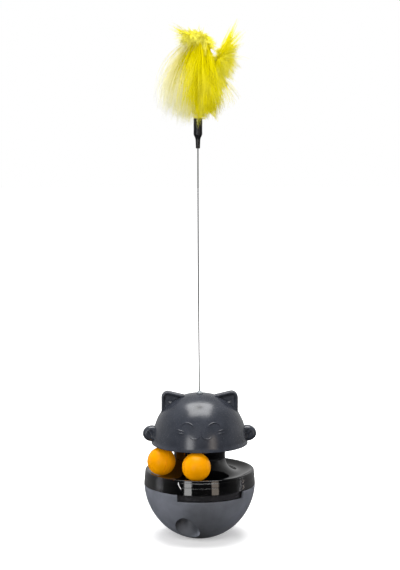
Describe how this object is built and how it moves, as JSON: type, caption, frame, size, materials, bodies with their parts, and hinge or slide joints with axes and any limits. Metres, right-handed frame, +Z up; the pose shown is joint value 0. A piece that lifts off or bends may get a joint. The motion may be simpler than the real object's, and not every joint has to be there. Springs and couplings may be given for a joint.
{
  "type": "wobble cat toy",
  "caption": "Weighted round-bottomed toy with a treat chute, balls in a ring track, a domed cat's head over them and a feather tuft on a springy wire.",
  "frame": {"origin": "on the ground, in the middle of the bowl's flat foot", "axes": "+Z up along the toy's axis; the cat's face looks along -Y and its ears lie to -X and +X"},
  "size_m": [0.1186, 0.1162, 0.5342],
  "materials": {
    "bowl_plastic": "satin",
    "head_plastic": "gloss",
    "inner_plastic": "satin",
    "smoked_plastic": "gloss",
    "ball_plastic": "satin",
    "steel": "satin",
    "clear_silicone": "satin",
    "black_sleeve": "satin",
    "feather": "matte"
  },
  "bodies": {
    "base": {"bowl_shell": "bowl_plastic", "counterweight": "steel", "weight_screw": "steel", "treat_floor": "inner_plastic", "floor_screw_1": "steel", "floor_screw_2": "steel", "floor_screw_3": "steel"},
    "gate": {"treat_gate": "inner_plastic"},
    "upper": {"track_tray": "smoked_plastic", "neck_collar": "smoked_plastic", "neck_screw_1": "steel", "neck_screw_2": "steel", "neck_screw_3": "steel", "head_shell": "head_plastic", "head_screw_1": "steel", "head_screw_2": "steel", "head_screw_3": "steel"},
    "ball_left": {"ball_left_cap": "ball_plastic", "ball_left_cup": "ball_plastic"},
    "ball_front": {"ball_front_cap": "ball_plastic", "ball_front_cup": "ball_plastic"},
    "plug": {"wand_plug": "clear_silicone"},
    "wire": {"wand_wire": "steel"},
    "tuft": {"wand_ferrule": "black_sleeve", "feather_left": "feather", "feather_front": "feather", "feather_right": "feather", "feather_back_right": "feather", "feather_back_left": "feather"}
  },
  "joints": [
    {"name": "treat_adjuster", "type": "hinge", "parent": "base", "child": "gate", "pos_m": [0, 0, 0.0365], "axis": [0, 0, 1], "range_deg": [0, 13.5]},
    {"name": "upper_lift", "type": "slide", "parent": "gate", "child": "upper", "axis": [0, 0, 1], "range_m": [0, 0.04]},
    {"name": "ball_left_roll", "type": "hinge", "parent": "upper", "child": "ball_left", "pos_m": [0, 0, 0.0843], "axis": [0, 0, 1], "continuous": true},
    {"name": "ball_front_roll", "type": "hinge", "parent": "ball_left", "child": "ball_front", "pos_m": [0, 0, 0.0843], "axis": [0, 0, 1], "range_deg": [-22, 256]},
    {"name": "plug_pull", "type": "slide", "parent": "upper", "child": "plug", "axis": [0, 0, 1], "range_m": [0, 0.03]},
    {"name": "wand_spin", "type": "hinge", "parent": "plug", "child": "wire", "pos_m": [0, 0, 0.15], "axis": [0, 0, 1], "continuous": true},
    {"name": "wand_bend", "type": "hinge", "parent": "wire", "child": "tuft", "pos_m": [0, 0, 0.193], "axis": [0, 1, 0], "range_deg": [-40, 40], "stiffness_Nm_per_rad": 0.18, "deforming": ["wand_wire"]}
  ]
}
